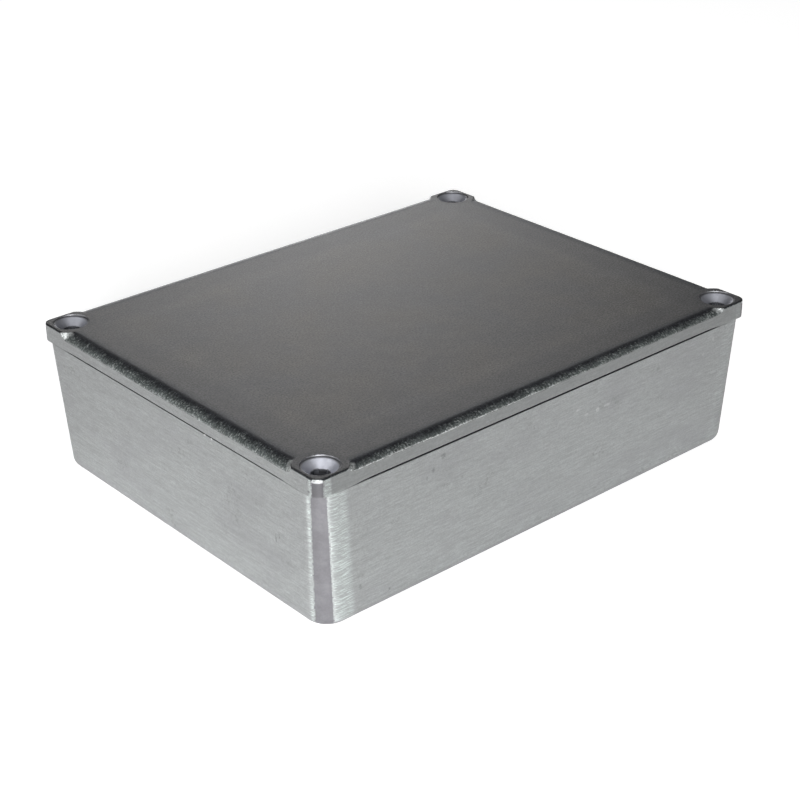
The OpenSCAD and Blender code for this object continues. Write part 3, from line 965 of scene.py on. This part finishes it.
def bare_cast(graph, position, colours):
    """Bare cast aluminium inside, as the mould left it, with painted shade in the joint."""
    skin = graph.effect("Cast Skin", position)
    colour = graph.varied(skin["Mottle"], colours.cast, 0.88, 1.1)
    # Painted shade in the gap between box and lid
    joint = graph.ramp(graph.from_joint(position), 0.5 * MM, 0.7 * MM, 0.8, 0)
    colour = graph.blend(joint, colour, colours.edge)
    return cast_surface(graph, skin, colour, (0.45, 0.56), 0.2, 0.03 * MM)


def countersink(graph, position, colours):
    """Smooth countersinks, with a dull ledge inside their lip, a painted reflection that leaves them
    darker away from the -X -Y corner, and painted shade at the cone's foot and down the hole.
    """
    skin = graph.effect("Cast Skin", position)
    cone = graph.varied(skin["Mottle"], colours.countersink, 0.85, 1.12)
    # Painted reflection: the cones are darker away from the -X -Y corner
    highlight_mask = graph.effect("Drag Marks", position)["Lit Corner"]
    cone = graph.blend(highlight_mask, graph.blend(0.7, cone, scaled(colours.countersink, 0.62)), cone)
    zone = graph.mark("zone")
    ledge = graph.times(graph.ramp(zone, 0, 1), graph.ramp(zone, 1, 2, 0.85, 0))
    colour = graph.blend(ledge, cone, scaled(colours.plate_cool, 1.5))
    # Painted shade: a dark ring at the cone's foot that fades down into the hole
    into = graph.math("SUBTRACT", TOP - CONE_DEPTH, graph.height(position))
    starting, fading = graph.ramp(into, -0.12 * MM, 0), graph.ramp(into, 0, 0.4 * MM, 0.75, 0.4)
    colour = graph.blend(graph.times(starting, fading), colour, scaled(colours.edge, 1.5))
    return cast_surface(graph, skin, colour, (0.5, 0.6), 0.1, 0.02 * MM)


def lid_face(graph, position, colours):
    """Dull skin of the lid: clouded and grainy on the plate; on its edges a painted reflection, dark
    above and lighter below, with sparkling grains and a painted highlight along the crease.
    """
    skin = graph.effect("Cast Skin", position)
    marks = graph.effect("Handling Marks", position)
    drag = graph.effect("Drag Marks", position)
    foot = graph.mark("foot")
    zone = graph.mark("zone")
    strayed = graph.ramp(drag["Drag"], 0, 1, -0.13, 0.13)
    steady = graph.times(graph.ramp(zone, -0.7, 0.0), graph.ramp(zone, 0.6, 1.0, 1, 0.4))
    zone = graph.math("ADD", zone, graph.times(strayed, steady))

    inset = drag["Inset"]
    inner = graph.ramp(inset, 7.5 * MM, 13 * MM)
    warm = graph.times(graph.ramp(inner, 0, 1, 0.4, 1), skin["Clouds"])
    plate = graph.blend(warm, colours.plate_cool, colours.plate_warm)
    mottle = graph.ramp(skin["Mottle"], 0, 1, 0.85, 1.15)
    ghost = graph.times(inner, graph.ramp(inset, 12 * MM, 16 * MM, 0.1, 0))
    light = graph.times(mottle, graph.math("ADD", ghost, graph.ramp(inner, 0, 1, 0.95, 1)))
    grain = graph.times(light, graph.ramp(skin["Grain"], 0.3, 0.7, 0.5, 1.5))
    plate = graph.blend(graph.times(marks["Scuffs"], 0.1), plate, scaled(colours.plate, 2.2))

    # Painted reflection on the rounded edge: dark at the top, lighter towards the crease
    edge = graph.blend(graph.ramp(zone, 0.3, 1.0), colours.edge, colours.edge_low_reflection)
    sparkle = graph.times(drag["Grains"], graph.ramp(zone, 0.2, 0.9, 0, 0.85))
    edge = graph.blend(sparkle, edge, colours.sparkle)
    # Painted highlight along the crease where the edge meets the linished side, strongest on the long sides
    # by the -X -Y corner
    line = graph.times(drag["Lit Corner"], graph.ramp(drag["At End"], 0, 1, 0.7, 0))
    crease_highlight = graph.times(graph.ramp(zone, 0.9, 1.05), graph.math("ADD", line, 0.3))
    edge = graph.blend(crease_highlight, edge, scaled(colours.linished, 1.6))
    colour = graph.blend(graph.ramp(zone, -0.6, 0.15), plate, edge)
    bared = graph.times(graph.ramp(foot, 0.0, 0.5), 0.65)
    colour = graph.blend(bared, colour, colours.linished)
    shade = graph.add("CombineColor", {0: grain, 1: grain, 2: grain}).outputs[0]
    return {
        "Base Color": graph.blend(1.0, colour, shade, mode="MULTIPLY"),
        "Roughness": graph.ramp(skin["Mottle"], 0, 1, 0.47, 0.5),
        "Metallic": graph.ramp(zone, 0.9, 1.05, 0.8, 1.0),
        "Normal": bump(graph, skin["Grain"], 0.45, 0.06 * MM),
    }


# How far the belt's streaks spread the highlights, and across which way
BELT_SHEEN = {"Metallic": 1, "Anisotropic": 0.7, "Anisotropic Rotation": 0.25}
# Name, function that builds it, and the values that are the same all over it
FINISHES = (
    ("linished aluminium", linished_wall, BELT_SHEEN),
    ("corner skin", corner_skin, {"Metallic": 0.95}),
    ("bare cast", bare_cast, {"Metallic": 0.9}),
    ("lid face", lid_face, {}),
    ("countersink", countersink, {"Metallic": 0.95}),
)


def material(name, build, uniform, colours):
    """A material with one Principled shader: uniform values by socket name, the rest by nodes."""
    if name in bpy.data.materials:
        return bpy.data.materials[name]
    made = bpy.data.materials.new(name)
    made.use_nodes = True
    graph = Graph(made.node_tree)
    shader = made.node_tree.nodes["Principled BSDF"]
    for socket, value in uniform.items():
        shader.inputs[socket].default_value = value
    position = graph.add("TexCoord", {}).outputs["Object"]
    for socket, value in build(graph, position, colours).items():
        graph.tree.links.new(value, shader.inputs[socket])
    return made


def finishes(colours):
    """The materials of both castings, in the order of the finish numbers."""
    for effect in EFFECTS:
        new_effect(*effect)
    return [material(*finish, colours) for finish in FINISHES]


# ---------------------------------------------------------------------- stage


def camera_matrix(settings):
    """Where the camera is: its distance back from the target, rolled about its own axis."""
    a, e, r = settings.azimuth, settings.elevation, settings.roll
    back = Vector((math.sin(a) * math.cos(e), -math.cos(a) * math.cos(e), math.sin(e)))
    level = Vector((math.cos(a), math.sin(a), 0))
    over = back.cross(level)
    right = math.cos(r) * level + math.sin(r) * over
    above = math.cos(r) * over - math.sin(r) * level
    target = Vector((settings.target_x, settings.target_y, settings.target_z))
    turned = Matrix((right, above, back)).transposed().to_4x4()
    return Matrix.Translation(target + settings.distance * back) @ turned


def seen_by_camera(graph):
    """1 for rays from the camera, 0 for light on its way round the scene."""
    return graph.add("LightPath", {}).outputs["Is Camera Ray"]


def add_camera(settings):
    """The camera, with its lens and its place."""
    data = bpy.data.cameras.new("camera")
    data.lens = settings.lens
    data.sensor_width = 36
    data.sensor_fit = "HORIZONTAL"
    data.clip_end = 50
    camera = bpy.data.objects.new("camera", data)
    camera.matrix_world = camera_matrix(settings)
    bpy.context.scene.collection.objects.link(camera)
    bpy.context.scene.camera = camera


def add_floor(settings):
    """A pale matt floor that glows a little where the camera sees it."""
    half = settings.floor_half
    mesh = bpy.data.meshes.new("floor")
    corners = [(x * half, y * half, 0) for x, y in ((-1, -1), (1, -1), (1, 1), (-1, 1))]
    mesh.from_pydata(corners, [], [(0, 1, 2, 3)])
    floor = bpy.data.objects.new("floor", mesh)
    bpy.context.scene.collection.objects.link(floor)
    paint = bpy.data.materials.new("floor")
    paint.use_nodes = True
    graph = Graph(paint.node_tree)
    shader = paint.node_tree.nodes["Principled BSDF"]
    shader.inputs["Base Color"].default_value = (*settings.floor, 1)
    shader.inputs["Roughness"].default_value = 0.9
    shader.inputs["Specular IOR Level"].default_value = 0.1
    shader.inputs["Emission Color"].default_value = (1, 1, 1, 1)
    glow = graph.times(seen_by_camera(graph), settings.floor_glow)
    graph.tree.links.new(glow, shader.inputs["Emission Strength"])
    mesh.materials.append(paint)


def add_world(settings):
    """A plain white world that lights the box less than it shows."""
    world = bpy.data.worlds.new("studio")
    world.use_nodes = True
    bpy.context.scene.world = world
    graph = Graph(world.node_tree)
    background = world.node_tree.nodes["Background"]
    background.inputs["Color"].default_value = (1, 1, 1, 1)
    strength = graph.ramp(seen_by_camera(graph), 0, 1, settings.world, 1.0)
    graph.tree.links.new(strength, background.inputs["Strength"])


def add_lamp(name, turn, rise, power, settings):
    """A square area lamp that faces the middle of the box."""
    light = bpy.data.lights.new(name, "AREA")
    light.size = settings.lamp_side
    light.energy = power
    turn, rise = math.radians(turn), math.radians(rise)
    away = Vector((math.sin(turn) * math.cos(rise), math.cos(turn) * math.cos(rise), math.sin(rise)))
    lamp = bpy.data.objects.new(name, light)
    lamp.location = settings.lamp_distance * away
    middle = Vector((0, 0, 0.5 * TOP))
    lamp.rotation_euler = (middle - lamp.location).to_track_quat("-Z", "Y").to_euler()
    bpy.context.scene.collection.objects.link(lamp)


def build_stage(settings):
    """Camera, pale floor, plain world and soft lamps."""
    bpy.context.scene.view_settings.view_transform = "Standard"
    add_camera(settings)
    add_floor(settings)
    add_world(settings)
    for lamp in LAMPS:
        add_lamp(*lamp, settings)


# ------------------------------------------------------------------ operators


def place(piece, node):
    """Puts a piece where the CAD node is: it rides on the body, and the node is hidden."""
    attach(piece, BODY)
    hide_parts(node)


class CASTBOX_OT_box(bpy.types.Operator):
    """Build the box casting in place of its plain solid"""

    bl_idname = "castbox.box"
    bl_label = "Cast box"

    def execute(self, context):
        scene = context.scene
        materials = finishes(scene.cast_box_finishes)[: CAST + 1]
        piece = build_box(scene.cast_box_sizes, materials)
        place(piece, "box")
        return {"FINISHED"}


class CASTBOX_OT_lid(bpy.types.Operator):
    """Build the lid casting in place of its plain solid"""

    bl_idname = "castbox.lid"
    bl_label = "Cast lid"

    def execute(self, context):
        scene = context.scene
        materials = finishes(scene.cast_box_finishes)
        piece = build_lid(scene.cast_lid_sizes, scene.cast_box_sizes, materials)
        place(piece, "lid")
        return {"FINISHED"}


class CASTBOX_OT_stage(bpy.types.Operator):
    """Set up the camera, the floor, the world and the lamps"""

    bl_idname = "castbox.stage"
    bl_label = "Studio stage"

    def execute(self, context):
        build_stage(context.scene.cast_box_stage)
        return {"FINISHED"}


SETTINGS = (
    ("cast_box_sizes", CastBoxSizes),
    ("cast_lid_sizes", CastLidSizes),
    ("cast_box_finishes", FinishColours),
    ("cast_box_stage", StageSettings),
)
OPERATORS = (CASTBOX_OT_box, CASTBOX_OT_lid, CASTBOX_OT_stage)


class CASTBOX_PT_panel(bpy.types.Panel):
    """Sizes, colours and operators of the cast box"""

    bl_label = "Cast Box"
    bl_space_type = "VIEW_3D"
    bl_region_type = "UI"
    bl_category = "Cast Box"

    def draw(self, context):
        layout = self.layout
        for name, group in SETTINGS:
            box = layout.box()
            for field in group.__annotations__:
                box.prop(getattr(context.scene, name), field)
        for operator in OPERATORS:
            layout.operator(operator.bl_idname)


def register():
    """Makes the settings, the operators and the panel known to Blender."""
    for name, group in SETTINGS:
        bpy.utils.register_class(group)
        setattr(bpy.types.Scene, name, bpy.props.PointerProperty(type=group))
    for operator in OPERATORS:
        bpy.utils.register_class(operator)
    bpy.utils.register_class(CASTBOX_PT_panel)


def unregister():
    """Undoes register, in reverse."""
    bpy.utils.unregister_class(CASTBOX_PT_panel)
    for operator in reversed(OPERATORS):
        bpy.utils.unregister_class(operator)
    for name, group in reversed(SETTINGS):
        delattr(bpy.types.Scene, name)
        bpy.utils.unregister_class(group)


def main():
    """Builds the scene."""
    register()
    bpy.ops.castbox.stage()
    bpy.ops.castbox.box()
    bpy.ops.castbox.lid()


if __name__ == "__main__":
    main()
